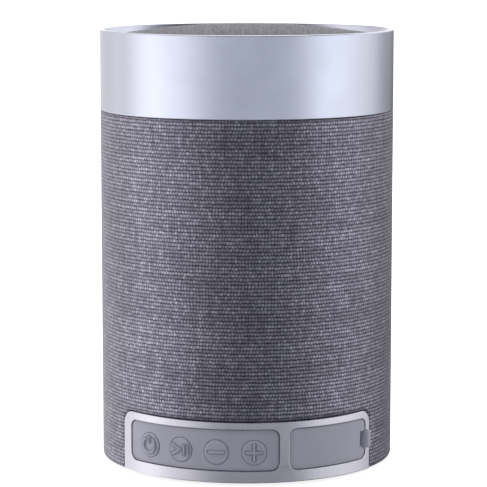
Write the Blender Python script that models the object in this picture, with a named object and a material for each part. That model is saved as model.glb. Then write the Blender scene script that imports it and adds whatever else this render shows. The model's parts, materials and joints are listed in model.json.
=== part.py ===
"""Portable Bluetooth speaker: a cylinder with a fabric sleeve, a metal top ring and a low control panel.

The model stands on its feet at z = 0. Its axis is Z, and its control panel faces -Y. Sizes below are in
millimetres; mesh_object() turns them into metres. Places round the body are given as arc lengths on the
outer radius, from the front, positive towards +X.
"""

import math

import bmesh
import bpy
from mathutils import Matrix, Vector

MM = 0.001
TAU = 2.0 * math.pi
GAP = 0.3  # clearance between neighbouring pieces

# Driving dimensions
BODY_R = 41.0
FOOT_H = 1.0  # height of the body's bottom edge above the surface it stands on
BODY_H = 120.0
BAND_H = 22.3  # metal ring at the top
RIM_W = 2.3
DOME_SPHERE_R = 224.0
DOME_RISE = 1.4  # apex of the top cloth above the ring's rim
CLOTH_T = 0.6
SKIN_T = 0.8  # sleeve and control panel

BODY_BOTTOM = FOOT_H
BODY_TOP = FOOT_H + BODY_H
BAND_BOTTOM = BODY_TOP - BAND_H
SKIN_IN = BODY_R - SKIN_T
TUBE_R = SKIN_IN - GAP
TUBE_WALL = 2.2
TUBE_IN = TUBE_R - TUBE_WALL
RING_IN = BODY_R - RIM_W
NECK_R = RING_IN - GAP
NECK_TOP = BODY_TOP - 5.0
APEX = BODY_TOP + DOME_RISE

# Control panel and its two windows
PANEL_HALF_ARC = 39.7
PANEL_H = 16.7
PANEL_CORNER = 3.8
WINDOW_BOTTOM = BODY_BOTTOM + 3.3
WINDOW_TOP = BODY_BOTTOM + 14.6
WINDOW_CORNER = 2.3
KEY_ARC = (-36.4, 8.9)
PORT_ARC = (11.7, 37.9)

# Keys
BUTTON_R = 3.5
BUTTON_Z = BODY_BOTTOM + 8.6
BUTTON_PITCH = 10.2
BUTTON_NAMES = ("power", "play", "minus", "plus")
FIRST_BUTTON_ARC = -28.7
BUTTON_FACE = BODY_R - 0.15
MAT_FACE = BODY_R - 0.3
STEM_TIP = 37.9
PLUNGER_TOP = STEM_TIP - GAP
SWITCH_TOP = 36.9
SWITCH_BOTTOM = 34.6
SWITCH_SIDE = 5.0
KEY_BOARD_R = (33.9, 34.3)
KEY_HOLDER_R = (32.2, 33.6)
KEY_LEAD_ARC = -13.4  # between two keys

# Port bay: a tray with a flat floor, square to the middle of the port window
PORT_MID_ARC = sum(PORT_ARC) / 2.0
PORT_MID_Z = (WINDOW_BOTTOM + WINDOW_TOP) / 2.0
COVER_IN = SKIN_IN - 0.5  # inner face of the port cover's skin
TRAY_FLOOR = 31.5
TRAY_HALF_W = 12.0
TRAY_WALL = 0.7
PORT_BOARD_TOP = 8.6
USB_X = 5.0  # sockets, along the bay from its middle
JACK_X = -7.0
CARD_X = -1.0

# Base
BASE_T = 2.1
FOOT_RADII = (24.0, 31.0)
BOSS_RING_R = 34.9
BASE_SCREW_ANGLES = (72.0, 135.0, 225.0, 288.0)

# Inner frame, battery and boards
FRAME_Z = 33.0
FRAME_T = 1.8
MAIN_BOARD_Z = 24.0
BOARD_T = 1.6
CELL_R = 9.2
CELL_LENGTH = 65.0
CELL_Z = 45.5
POST_RING_R = 28.0
AIR_HOLE = (2.0, -25.0)  # middle of the way that joins the radiator's air to the driver's

# Loudspeaker driver, facing up
BAFFLE_Z = 106.0
BAFFLE_T = 2.4
FLANGE_R = 33.0
FLANGE_Z = BAFFLE_Z + BAFFLE_T + GAP

LARGE_STEPS = 48
MEDIUM_STEPS = 24
SMALL_STEPS = 16

SIDEWAYS = Matrix.Rotation(math.pi / 2.0, 4, "Y")  # turns Z onto X


def clear_scene():
    for item in list(bpy.data.objects):
        bpy.data.objects.remove(item, do_unlink=True)


def finish(name, colour, roughness, metallic=0.0):
    made = bpy.data.materials.new(name)
    made.use_nodes = True
    shader = made.node_tree.nodes["Principled BSDF"]
    shader.inputs["Base Color"].default_value = (*colour, 1.0)
    shader.inputs["Roughness"].default_value = roughness
    shader.inputs["Metallic"].default_value = metallic
    made.diffuse_color = (*colour, 1.0)
    return made


# Places round the body


def angle_of(arc):
    return arc / BODY_R


def on_body(arc, radius, z):
    """The point at this arc length from the front, this far from the axis."""
    angle = angle_of(arc)
    return Vector((radius * math.sin(angle), -radius * math.cos(angle), z))


def radial_frame(arc, z):
    """A frame on the body's axis with +X along the skin, +Y up and +Z straight out at this arc."""
    angle = angle_of(arc)
    along = Vector((math.cos(angle), math.sin(angle), 0.0))
    out = Vector((math.sin(angle), -math.cos(angle), 0.0))
    turn = Matrix((along, Vector((0.0, 0.0, 1.0)), out)).transposed().to_4x4()
    return Matrix.Translation((0.0, 0.0, z)) @ turn


def dome_z(radius, below=0.0):
    drop = DOME_SPHERE_R - math.sqrt(DOME_SPHERE_R**2 - radius**2)
    return APEX - drop - below


# Shapes, in millimetres


def turned(profile, steps, start=0.0, sweep=TAU):
    """A closed outline of (radius, z) points turned about Z, all the way round or as a capped sector."""
    shape = bmesh.new()
    points = [shape.verts.new((r * math.cos(start), r * math.sin(start), z)) for r, z in profile]
    pairs = zip(points, points[1:] + points[:1])
    edges = [shape.edges.new(pair) for pair in pairs if any(abs(v.co.xy.length) > 1e-6 for v in pair)]
    whole = sweep > TAU - 1e-6
    swept = bmesh.ops.spin(
        shape,
        geom=points + edges,
        cent=(0.0, 0.0, 0.0),
        axis=(0.0, 0.0, 1.0),
        angle=sweep,
        steps=steps,
        use_merge=whole,
    )
    if not whole:
        last = [item for item in swept["geom_last"] if isinstance(item, bmesh.types.BMVert)]
        turn = Matrix.Rotation(sweep, 3, "Z")
        ends = [min(last, key=lambda v, at=turn @ point.co: (v.co - at).length) for point in points]
        shape.faces.new(points)
        shape.faces.new(ends)
    bmesh.ops.remove_doubles(shape, verts=shape.verts, dist=1e-5)
    return shape


def box(centre, size):
    shape = bmesh.new()
    place = Matrix.Translation(centre) @ Matrix.Diagonal((*size, 1.0))
    bmesh.ops.create_cube(shape, size=1.0, matrix=place)
    return shape


def cylinder(radius, bottom, top, steps=SMALL_STEPS, centre=(0.0, 0.0)):
    shape = bmesh.new()
    bmesh.ops.create_cone(
        shape,
        cap_ends=True,
        segments=steps,
        radius1=radius,
        radius2=radius,
        depth=top - bottom,
        matrix=Matrix.Translation((*centre, (bottom + top) / 2.0)),
    )
    return shape


def columns(arcs, heights, corner, round_bottom, step):
    """Columns (arc, low z, high z) of an outline with rounded corners, laid along the skin."""
    turns = [math.radians(t) for t in (0.0, 30.0, 60.0, 90.0)] if corner else [math.pi / 2.0]
    left = [(corner * (1.0 - math.cos(t)), corner * (1.0 - math.sin(t))) for t in turns]
    inner = (arcs[0] + corner, arcs[1] - corner)
    count = max(1, round((inner[1] - inner[0]) / step))
    run = [(inner[0] + (inner[1] - inner[0]) * i / count, 0.0) for i in range(1, count)]
    spots = [(arcs[0] + x, cut) for x, cut in left] + run + [(arcs[1] - x, cut) for x, cut in reversed(left)]
    return [(arc, heights[0] + (cut if round_bottom else 0.0), heights[1] - cut) for arc, cut in spots]


def curved_slab(arcs, heights, radii, corner=0.0, round_bottom=True, step=4.4):
    """A plate bent to the body: its arcs and heights are its outline, its radii its two faces."""
    shape = bmesh.new()
    rings = []
    for arc, low, high in columns(arcs, heights, corner, round_bottom, step):
        spots = ((radii[0], low), (radii[1], low), (radii[1], high), (radii[0], high))
        rings.append([shape.verts.new(on_body(arc, r, z)) for r, z in spots])
    for near, far in zip(rings, rings[1:]):
        for i in range(4):
            shape.faces.new((near[i], near[(i + 1) % 4], far[(i + 1) % 4], far[i]))
    shape.faces.new(rings[0])
    shape.faces.new(rings[-1])
    return shape


def gathered(shapes):
    """Several separate closed shapes in one mesh, for use as one cutter."""
    whole = bmesh.new()
    for shape in shapes:
        bmesh.ops.recalc_face_normals(shape, faces=shape.faces)
        spare = bpy.data.meshes.new("spare")
        shape.to_mesh(spare)
        shape.free()
        whole.from_mesh(spare)
        bpy.data.meshes.remove(spare)
    return whole


def moved(shape, matrix):
    bmesh.ops.transform(shape, matrix=matrix, verts=shape.verts)
    return shape


# Objects


def mesh_object(name, shape, coat=None, place=None):
    """An object from a shape in millimetres; place is its frame, with an offset in millimetres."""
    bmesh.ops.recalc_face_normals(shape, faces=shape.faces)
    bmesh.ops.scale(shape, vec=(MM, MM, MM), verts=shape.verts)
    mesh = bpy.data.meshes.new(name)
    shape.to_mesh(mesh)
    shape.free()
    mesh.shade_smooth()
    mesh.set_sharp_from_angle(angle=math.radians(35.0))
    made = bpy.data.objects.new(name, mesh)
    bpy.context.scene.collection.objects.link(made)
    if coat:
        mesh.materials.append(coat)
    if place:
        made.matrix_world = Matrix.Translation(place.translation * MM) @ place.to_3x3().to_4x4()
    return made


def combine(target, tool_name, shape, operation, solver="EXACT"):
    """A hidden tool and the Boolean that unites it with the target, or cuts or trims the target with it."""
    tool = mesh_object(tool_name, shape)
    tool.hide_render = True
    tool.display_type = "WIRE"
    step = target.modifiers.new(tool_name, "BOOLEAN")
    step.operation = operation
    step.solver = solver
    step.object = tool


def lead_object(name, route, radius, coat):
    """A round lead on a smooth curve through its route's points."""
    ends = [route[0] * 2.0 - route[1], *route, route[-1] * 2.0 - route[-2]]
    path = []
    for before, start, end, after in zip(ends, ends[1:], ends[2:], ends[3:]):
        count = max(2, round((end - start).length / (5.0 * radius)))
        for i in range(count):
            t = i / count
            bend = start * 2.0 + (end - before) * t
            bend += (before * 2.0 - start * 5.0 + end * 4.0 - after) * t**2
            bend += (start * 3.0 - before - end * 3.0 + after) * t**3
            path.append(bend / 2.0)
    path.append(route[-1])
    curve = bpy.data.curves.new(name, "CURVE")
    curve.dimensions = "3D"
    curve.bevel_depth = radius * MM
    curve.bevel_resolution = 1
    curve.use_fill_caps = True
    line = curve.splines.new("POLY")
    line.points.add(len(path) - 1)
    for point, at in zip(line.points, path):
        point.co = (*(at * MM), 1.0)
    curve.materials.append(coat)
    made = bpy.data.objects.new(name, curve)
    bpy.context.scene.collection.objects.link(made)
    return made


# Casing


def make_casing(coats):
    bottom = BODY_BOTTOM + GAP
    shoulder = BAND_BOTTOM - GAP
    tube = mesh_object(
        "body_tube",
        turned(
            [
                (NECK_R, NECK_TOP),
                (NECK_R, shoulder),
                (TUBE_R, shoulder),
                (TUBE_R, bottom),
                (TUBE_IN, bottom),
                (TUBE_IN, FRAME_Z - 2.3),
                (TUBE_IN - 1.5, FRAME_Z - 2.3),
                (TUBE_IN - 1.5, FRAME_Z - GAP),
                (TUBE_IN, FRAME_Z - GAP),
                (TUBE_IN, shoulder - 3.4),
                (NECK_R - 2.4, shoulder - 1.4),
                (NECK_R - 2.4, BAFFLE_Z - 3.6),
                (NECK_R - 4.0, BAFFLE_Z - 2.0),
                (NECK_R - 4.0, BAFFLE_Z - GAP),
                (NECK_R - 2.0, BAFFLE_Z - GAP),
                (NECK_R - 2.0, NECK_TOP),
            ],
            LARGE_STEPS,
        ),
        coats["black plastic"],
    )
    boss_bottom = BODY_BOTTOM + BASE_T + GAP
    bosses = [cylinder(3.1, boss_bottom, 14.0, 12, base_screw_spot(a)) for a in BASE_SCREW_ANGLES]
    combine(tube, "tube_bosses", gathered(bosses), "UNION")
    bores = [cylinder(1.3, 0.0, 13.0, 8, base_screw_spot(a)) for a in BASE_SCREW_ANGLES]
    combine(tube, "tube_bores", gathered(bores), "DIFFERENCE")
    bay = curved_slab((-38.2, 39.4), (3.3, 16.8), (TUBE_IN - 1.5, TUBE_R + 2.0), 0.6)
    combine(tube, "tube_bay", bay, "DIFFERENCE")

    sleeve = mesh_object(
        "fabric_sleeve",
        turned(
            [
                (BODY_R, shoulder),
                (BODY_R, BODY_BOTTOM),
                (SKIN_IN, BODY_BOTTOM),
                (SKIN_IN, shoulder),
            ],
            LARGE_STEPS,
        ),
        coats["sleeve fabric"],
    )
    edge = PANEL_HALF_ARC + GAP
    heights = (BODY_BOTTOM - 4.0, BODY_BOTTOM + PANEL_H + GAP)
    notch = curved_slab((-edge, edge), heights, (SKIN_IN - 2.0, BODY_R + 2.0), PANEL_CORNER + GAP, False)
    combine(sleeve, "sleeve_notch", notch, "DIFFERENCE")

    chamfer = 0.45
    mesh_object(
        "top_ring",
        turned(
            [
                (BODY_R - chamfer, BODY_TOP),
                (BODY_R - chamfer * 0.3, BODY_TOP - chamfer * 0.3),
                (BODY_R, BODY_TOP - chamfer),
                (BODY_R, BAND_BOTTOM),
                (RING_IN, BAND_BOTTOM),
                (RING_IN, BODY_TOP - 0.2),
                (RING_IN + 0.2, BODY_TOP),
            ],
            LARGE_STEPS,
        ),
        coats["satin aluminium"],
    )


def make_top(coats):
    rim_r = RING_IN - GAP
    radii = [rim_r * i / 5 for i in range(6)]
    outer = [(r, dome_z(r)) for r in radii]
    inner = [(r, dome_z(r, CLOTH_T)) for r in reversed(radii)]
    mesh_object("top_cloth", turned(outer + inner, LARGE_STEPS), coats["top cloth"])

    below = CLOTH_T + GAP
    plate_t = 1.5
    radii = [rim_r * i / 4 for i in range(5)]
    skirt_in = rim_r - 1.7
    outer = [(r, dome_z(r, below)) for r in radii]
    skirt = [(rim_r, NECK_TOP + GAP), (skirt_in, NECK_TOP + GAP)]
    inner_radii = [skirt_in * i / 3 for i in range(4)]
    inner = [(r, dome_z(r, below + plate_t)) for r in reversed(inner_radii)]
    grille = mesh_object("top_grille", turned(outer + skirt + inner, MEDIUM_STEPS), coats["black plastic"])
    spoke_w = 2.4
    slots = []
    for near, far in ((5.0, 12.5), (14.5, 23.0), (25.0, 34.0)):
        wide = TAU / 8 - 2.0 * spoke_w / (near + far)
        outline = [(near, NECK_TOP - 3), (far, NECK_TOP - 3), (far, APEX + 3), (near, APEX + 3)]
        slots += [turned(outline, 3, TAU * i / 8, wide) for i in range(8)]
    combine(grille, "grille_slots", gathered(slots), "DIFFERENCE")


# Control panel and keys


def button_arcs():
    return [FIRST_BUTTON_ARC + BUTTON_PITCH * i for i in range(len(BUTTON_NAMES))]


def make_panel(coats):
    panel = mesh_object(
        "control_panel",
        curved_slab(
            (-PANEL_HALF_ARC, PANEL_HALF_ARC),
            (BODY_BOTTOM, BODY_BOTTOM + PANEL_H),
            (SKIN_IN, BODY_R),
            PANEL_CORNER,
            False,
        ),
        coats["satin aluminium"],
    )
    depth = (SKIN_IN - 2.0, BODY_R + 2.0)
    heights = (WINDOW_BOTTOM, WINDOW_TOP)
    windows = [curved_slab(arcs, heights, depth, WINDOW_CORNER) for arcs in (KEY_ARC, PORT_ARC)]
    combine(panel, "panel_windows", gathered(windows), "DIFFERENCE")


def make_keys(coats):
    face_arcs = (KEY_ARC[0] + GAP, KEY_ARC[1] - GAP)
    face_heights = (WINDOW_BOTTOM + GAP, WINDOW_TOP - GAP)
    mat = mesh_object(
        "keypad_mat",
        curved_slab(face_arcs, face_heights, (SKIN_IN - 1.2, MAT_FACE), WINDOW_CORNER - GAP),
        coats["grey rubber"],
    )
    flange_arcs = (KEY_ARC[0] - 1.0, KEY_ARC[1] + 0.8)
    flange_heights = (WINDOW_BOTTOM - 0.7, WINDOW_TOP + 0.7)
    flange = curved_slab(flange_arcs, flange_heights, (SKIN_IN - 1.4, SKIN_IN - GAP), 1.6)
    combine(mat, "mat_flange", flange, "UNION")
    holes = []
    for arc in button_arcs():
        hole = cylinder(BUTTON_R + GAP, STEM_TIP, BODY_R + 2.0, 18)
        holes.append(moved(hole, radial_frame(arc, BUTTON_Z)))
    combine(mat, "mat_holes", gathered(holes), "DIFFERENCE")

    for name, arc in zip(BUTTON_NAMES, button_arcs()):
        place = radial_frame(arc, BUTTON_Z)
        cap = [
            (0.0, BUTTON_FACE),
            (BUTTON_R - 0.3, BUTTON_FACE),
            (BUTTON_R, BUTTON_FACE - 0.3),
            (BUTTON_R, SKIN_IN - 1.2),
            (1.6, SKIN_IN - 1.2),
            (1.6, STEM_TIP),
            (0.0, STEM_TIP),
        ]
        mesh_object(f"{name}_button", turned(cap, 18), coats["grey rubber"], place)
        plunger = cylinder(1.2, SWITCH_TOP - 0.9, PLUNGER_TOP, 10)
        mesh_object(f"{name}_plunger", plunger, coats["black plastic"], place)
        middle = (SWITCH_BOTTOM + SWITCH_TOP) / 2.0
        case = box((0.0, 0.0, middle), (SWITCH_SIDE, SWITCH_SIDE, SWITCH_TOP - SWITCH_BOTTOM))
        switch = mesh_object(f"{name}_switch", moved(case, place), coats["bright steel"])
        well = moved(cylinder(1.5, SWITCH_TOP - 1.6, SWITCH_TOP + 2.0, 10), place)
        combine(switch, f"{name}_switch_well", well, "DIFFERENCE")

    mesh_object(
        "key_board",
        curved_slab((-33.6, 6.3), (WINDOW_BOTTOM + 0.7, WINDOW_TOP - 0.4), KEY_BOARD_R),
        coats["green board"],
    )
    holder = mesh_object(
        "key_holder",
        curved_slab((-37.0, 6.6), (WINDOW_BOTTOM, 19.6), KEY_HOLDER_R),
        coats["black plastic"],
    )
    shelf = curved_slab((-36.6, 6.2), (17.4, 19.2), (KEY_HOLDER_R[0] + 0.7, TUBE_IN - GAP))
    combine(holder, "holder_shelf", shelf, "UNION")
    slot = moved(box((0.0, 0.0, 33.0), (3.4, 3.4, 6.0)), radial_frame(KEY_LEAD_ARC, BUTTON_Z))
    combine(holder, "holder_slot", slot, "DIFFERENCE", "MANIFOLD")


# Port bay


def port_place(x, up, out):
    """The point x along the bay, at this height, and this far out from the axis."""
    return radial_frame(PORT_MID_ARC, 0.0) @ Vector((x, up, out))


def port_box(centre, size):
    return moved(box(centre, size), radial_frame(PORT_MID_ARC, 0.0))


def make_port_cover(coats):
    hinge = on_body(PORT_ARC[0] + 0.15, BODY_R, 0.0)
    place = Matrix.Translation(hinge)
    back = Matrix.Translation(-hinge)
    arcs = (PORT_ARC[0] + GAP, PORT_ARC[1] - 0.4)
    heights = (WINDOW_BOTTOM + GAP, WINDOW_TOP - GAP)
    skin = curved_slab(arcs, heights, (COVER_IN, BODY_R - 0.1), WINDOW_CORNER - GAP)
    cover = mesh_object("port_cover", moved(skin, back), coats["grey rubber"], place)
    plug_arcs = (arcs[0] + 1.2, arcs[1] - 1.2)
    plug_heights = (heights[0] + 1.2, heights[1] - 1.2)
    plug = curved_slab(plug_arcs, plug_heights, (SKIN_IN - 1.6, SKIN_IN + 0.2), 1.4)
    tab_heights = (BODY_BOTTOM + 6.2, BODY_BOTTOM + 11.2)
    neck_heights = (tab_heights[0] + 0.2, tab_heights[1] - 0.2)
    neck = curved_slab((arcs[1] - 1.0, arcs[1] - 0.1), neck_heights, (40.4, 42.0))
    tongue = curved_slab((arcs[1] - 1.2, 39.2), tab_heights, (BODY_R + GAP, 42.2), 0.8, step=1.0)
    for tool_name, shape in (("cover_plug", plug), ("cover_neck", neck), ("cover_tongue", tongue)):
        combine(cover, tool_name, shape, "UNION", "MANIFOLD")


def make_port_bay(coats):
    floor_back = TRAY_FLOOR - 0.9
    wide = 2.0 * (TRAY_HALF_W + TRAY_WALL)
    tall = WINDOW_TOP - WINDOW_BOTTOM + 2.0 * TRAY_WALL
    middle = (floor_back + 44.0) / 2.0
    tray = mesh_object(
        "port_tray",
        port_box((0.0, PORT_MID_Z, middle), (wide, tall, 44.0 - floor_back)),
        coats["black plastic"],
    )
    inside = (2.0 * TRAY_HALF_W, WINDOW_TOP - WINDOW_BOTTOM, 44.0 - TRAY_FLOOR + 2.0)
    hollow = port_box((0.0, PORT_MID_Z, (TRAY_FLOOR + 46.0) / 2.0), inside)
    combine(tray, "tray_hollow", hollow, "DIFFERENCE")
    combine(tray, "tray_trim", cylinder(COVER_IN - GAP, -5.0, 30.0, LARGE_STEPS), "INTERSECT")
    usb_z = PORT_BOARD_TOP + GAP + 1.4
    jack_z = PORT_BOARD_TOP + GAP + 2.5
    card_z = PORT_BOARD_TOP - 1.0 - GAP - 0.95
    holes = [
        port_box((USB_X, usb_z, 31.0), (8.2, 3.4, 4.0)),
        port_box((JACK_X, jack_z, 31.0), (6.6, 5.6, 4.0)),
        port_box((CARD_X, card_z, 31.0), (13.2, 2.4, 4.0)),
    ]
    combine(tray, "tray_holes", gathered(holes), "DIFFERENCE")

    mesh_object(
        "port_board",
        port_box((0.0, PORT_BOARD_TOP - 0.5, 24.6), (23.0, 1.0, 11.2)),
        coats["green board"],
    )
    usb = mesh_object("usb_socket", port_box((USB_X, usb_z, 28.6), (7.6, 2.8, 5.6)), coats["bright steel"])
    combine(usb, "usb_mouth", port_box((USB_X, usb_z, 30.0), (6.9, 2.0, 5.0)), "DIFFERENCE")
    jack = mesh_object("aux_jack", port_box((JACK_X, jack_z, 26.9), (6.0, 5.0, 9.0)), coats["black plastic"])
    bore = cylinder(1.8, 24.0, 33.0, 14, (JACK_X, jack_z))
    combine(jack, "jack_bore", moved(bore, radial_frame(PORT_MID_ARC, 0.0)), "DIFFERENCE")
    card_case = port_box((CARD_X, card_z, 26.1), (12.6, 1.9, 10.6))
    card = mesh_object("card_slot", card_case, coats["bright steel"])
    combine(card, "card_mouth", port_box((CARD_X, card_z, 28.0), (11.4, 0.8, 9.0)), "DIFFERENCE")


# Base


def base_screw_spot(degrees):
    angle = math.radians(degrees)
    return (BOSS_RING_R * math.sin(angle), -BOSS_RING_R * math.cos(angle))


def make_base(coats):
    top = BODY_BOTTOM + BASE_T
    groove = BODY_BOTTOM + 0.5
    opening = 15.0
    cover = mesh_object(
        "base_cover",
        turned(
            [
                (TUBE_IN - GAP, top),
                (TUBE_IN - GAP, BODY_BOTTOM),
                (FOOT_RADII[1] + GAP, BODY_BOTTOM),
                (FOOT_RADII[1] + GAP, groove),
                (FOOT_RADII[0] - GAP, groove),
                (FOOT_RADII[0] - GAP, BODY_BOTTOM),
                (opening, BODY_BOTTOM),
                (opening, top),
            ],
            LARGE_STEPS,
        ),
        coats["black plastic"],
    )
    seats = [cylinder(2.3, 0.0, BODY_BOTTOM + 1.2, 12, base_screw_spot(a)) for a in BASE_SCREW_ANGLES]
    combine(cover, "base_seats", gathered(seats), "DIFFERENCE")
    holes = [cylinder(1.4, 0.0, top + 2.0, 8, base_screw_spot(a)) for a in BASE_SCREW_ANGLES]
    combine(cover, "base_holes", gathered(holes), "DIFFERENCE")

    head = [
        (0.0, 12.0),
        (0.95, 12.0),
        (0.95, BODY_BOTTOM + 0.9),
        (2.0, BODY_BOTTOM + 0.9),
        (2.0, BODY_BOTTOM + 0.1),
        (0.0, BODY_BOTTOM + 0.1),
    ]
    pad_sweep = math.radians(72.0)
    inner, outer = FOOT_RADII
    pad = [(outer, groove - GAP), (outer, 0.0), (inner, 0.0), (inner, groove - GAP)]
    for i, degrees in enumerate(BASE_SCREW_ANGLES):
        spot = Matrix.Translation((*base_screw_spot(degrees), 0.0))
        mesh_object(f"base_screw_{i + 1}", turned(head, 12), coats["bright steel"], spot)
        start = TAU * i / 4.0 + (TAU / 4.0 - pad_sweep) / 2.0
        mesh_object(f"foot_{i + 1}", turned(pad, 9, start, pad_sweep), coats["black rubber"])


def make_radiator(coats):
    seat = BODY_BOTTOM + BASE_T + GAP
    frame = [(18.6, seat + 1.6), (18.6, seat), (15.2, seat), (15.2, seat + 1.6)]
    mesh_object("radiator_frame", turned(frame, MEDIUM_STEPS), coats["black plastic"])
    plate = [(0.0, seat + 0.2), (11.3, seat + 0.2), (11.3, seat - 1.4), (0.0, seat - 1.4)]
    mesh_object("radiator_plate", turned(plate, MEDIUM_STEPS), coats["bright steel"])
    roll = roll_profile((9.6, 11.6), (14.4, 17.4), seat + 0.5, seat + 1.9, 0.8)
    mesh_object("radiator_surround", turned(roll, MEDIUM_STEPS), coats["black rubber"])


def roll_profile(inner, outer, low, high, thick):
    """A flexible ring's outline: a flat lip inside, an arched roll, and a flat lip outside and higher."""
    top = []
    under = []
    count = 4
    for i in range(count + 1):
        t = i / count
        r = inner[1] + (outer[0] - inner[1]) * t
        z = low + (high - low) * t
        rise = math.sin(math.pi * t)
        top.append((r, z + thick + rise * 0.9))
        under.append((r, z + rise * 0.9))
    over = [(inner[0], low + thick), *top, (outer[1], high + thick)]
    return over + [(outer[1], high), *reversed(under), (inner[0], low)]


# Inside: frame, battery and electronics


def make_inner_frame(coats):
    top = FRAME_Z + FRAME_T
    frame = mesh_object(
        "inner_frame",
        cylinder(TUBE_IN - GAP, FRAME_Z, top, LARGE_STEPS),
        coats["black plastic"],
    )
    posts = []
    for i in range(4):
        angle = TAU * (i + 0.5) / 4.0
        spot = (POST_RING_R * math.cos(angle), POST_RING_R * math.sin(angle))
        posts.append(cylinder(2.2, MAIN_BOARD_Z + BOARD_T + GAP, FRAME_Z + 0.6, 8, spot))
    saddles = [box((x, 0.0, (top + CELL_Z) / 2.0 - 0.8), (5.0, 26.0, CELL_Z - top)) for x in (-20.0, 20.0)]
    combine(frame, "frame_posts", gathered(posts + saddles), "UNION")
    cradle = moved(cylinder(CELL_R + GAP, -30.0, 30.0, 24), Matrix.Translation((0, 0, CELL_Z)) @ SIDEWAYS)
    slots = [
        box((34.5, 0.0, FRAME_Z + 1.0), (7.0, 9.0, 6.0)),
        box((8.0, 33.0, FRAME_Z + 1.0), (9.0, 8.0, 6.0)),
        box((*AIR_HOLE, FRAME_Z + 1.0), (18.0, 10.0, 6.0)),
    ]
    combine(frame, "frame_cuts", gathered([cradle, *slots]), "DIFFERENCE")


def make_battery(coats):
    half = CELL_LENGTH / 2.0
    outline = [
        (0.0, half),
        (3.0, half),
        (3.0, half - 0.8),
        (CELL_R - 0.6, half - 0.8),
        (CELL_R, half - 1.6),
        (CELL_R, -half + 0.6),
        (CELL_R - 0.6, -half),
        (0.0, -half),
    ]
    place = Matrix.Translation((0.0, 0.0, CELL_Z)) @ SIDEWAYS
    mesh_object("battery_cell", turned(outline, 24), coats["blue wrap"], place)
    arch = [(CELL_R + 1.8, -5.0), (CELL_R + 1.8, 5.0), (CELL_R + 0.4, 5.0), (CELL_R + 0.4, -5.0)]
    clamp = turned(arch, 12, math.pi / 2.0 + 0.02, math.pi - 0.04)
    mesh_object("battery_clamp", clamp, coats["black plastic"], place)


def make_main_board(coats):
    board = mesh_object(
        "main_board",
        cylinder(34.0, MAIN_BOARD_Z, MAIN_BOARD_Z + BOARD_T, 48),
        coats["green board"],
    )
    lead_notch = box((8.0, 34.0, MAIN_BOARD_Z), (9.0, 9.0, 8.0))
    air_window = box((*AIR_HOLE, MAIN_BOARD_Z), (14.0, 10.0, 8.0))
    combine(board, "board_cuts", gathered([lead_notch, air_window]), "DIFFERENCE")
    above = MAIN_BOARD_Z + BOARD_T + GAP
    for name, spot, size, coat in (
        ("bluetooth_module", (-10.0, -8.0), (11.0, 16.0, 2.2), "bright steel"),
        ("amplifier_chip", (12.0, -10.0), (7.0, 7.0, 1.2), "black plastic"),
    ):
        mesh_object(name, box((*spot, above + size[2] / 2.0), size), coats[coat])


# Loudspeaker driver


def make_driver(coats):
    baffle_top = BAFFLE_Z + BAFFLE_T
    baffle = [(NECK_R - 2.3, baffle_top), (NECK_R - 2.3, BAFFLE_Z), (28.1, BAFFLE_Z), (28.1, baffle_top)]
    mesh_object("driver_baffle", turned(baffle, MEDIUM_STEPS), coats["black plastic"])

    basket = mesh_object(
        "driver_basket",
        turned(
            [
                (FLANGE_R, FLANGE_Z + 1.2),
                (FLANGE_R, FLANGE_Z),
                (27.4, FLANGE_Z),
                (20.2, 92.0),
                (20.2, 89.6),
                (9.0, 89.6),
                (9.0, 90.8),
                (18.8, 90.8),
                (18.8, 92.4),
                (26.0, FLANGE_Z + 0.3),
                (26.0, FLANGE_Z + 1.2),
            ],
            MEDIUM_STEPS,
        ),
        coats["painted steel"],
    )
    window = [(15.0, 94.5), (32.0, 94.5), (32.0, 104.5), (15.0, 104.5)]
    windows = [turned(window, 3, TAU * i / 6.0, 0.75) for i in range(6)]
    combine(basket, "basket_windows", gathered(windows), "DIFFERENCE")

    rings = (
        ("driver_top_plate", (8.6, 19.0), (86.2, 89.3), "bright steel"),
        ("driver_magnet", (9.6, 19.6), (79.6, 85.9), "ferrite"),
        ("voice_coil", (7.7, 8.15), (84.6, 97.0), "copper"),
    )
    for name, (inner, outer), (low, high), coat in rings:
        outline = [(outer, high), (outer, low), (inner, low), (inner, high)]
        mesh_object(name, turned(outline, MEDIUM_STEPS), coats[coat])
    yoke = [(0.0, 89.3), (7.2, 89.3), (7.2, 79.3), (19.0, 79.3), (19.0, 76.3), (0.0, 76.3)]
    mesh_object("driver_yoke", turned(yoke, MEDIUM_STEPS), coats["bright steel"])

    cone = [(22.2, 106.4), (8.6, 97.4), (8.6, 96.8), (9.4, 96.8), (22.9, 105.8), (22.9, 106.4)]
    mesh_object("driver_cone", turned(list(reversed(cone)), MEDIUM_STEPS), coats["paper cone"])
    cap_top = [(9.2 * math.sin(t), 98.4 + 2.6 * math.cos(t)) for t in (0.0, 0.5, 1.0, math.pi / 2.0)]
    cap_under = [(r * 0.94, z - 0.5) for r, z in reversed(cap_top[:-1])]
    dust_cap = cap_top + [(9.2, 98.2), (8.7, 98.2)] + cap_under
    mesh_object("dust_cap", turned(dust_cap, MEDIUM_STEPS), coats["paper cone"])
    roll = roll_profile((20.9, 22.6), (26.2, 29.5), 106.8, FLANGE_Z + 1.2 + GAP, 0.7)
    mesh_object("driver_surround", turned(roll, MEDIUM_STEPS), coats["black rubber"])
    over = []
    folds = 7
    for i in range(folds):
        t = i / (folds - 1)
        r = 8.5 + (18.2 - 8.5) * t
        over.append((r, 95.4 - 3.8 * t + (0.5 if i % 2 else 0.0)))
    under = [(r, z - 0.5) for r, z in reversed(over)]
    mesh_object("driver_spider", turned(over + under, MEDIUM_STEPS), coats["yellow cloth"])


# Leads inside the casing


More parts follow.
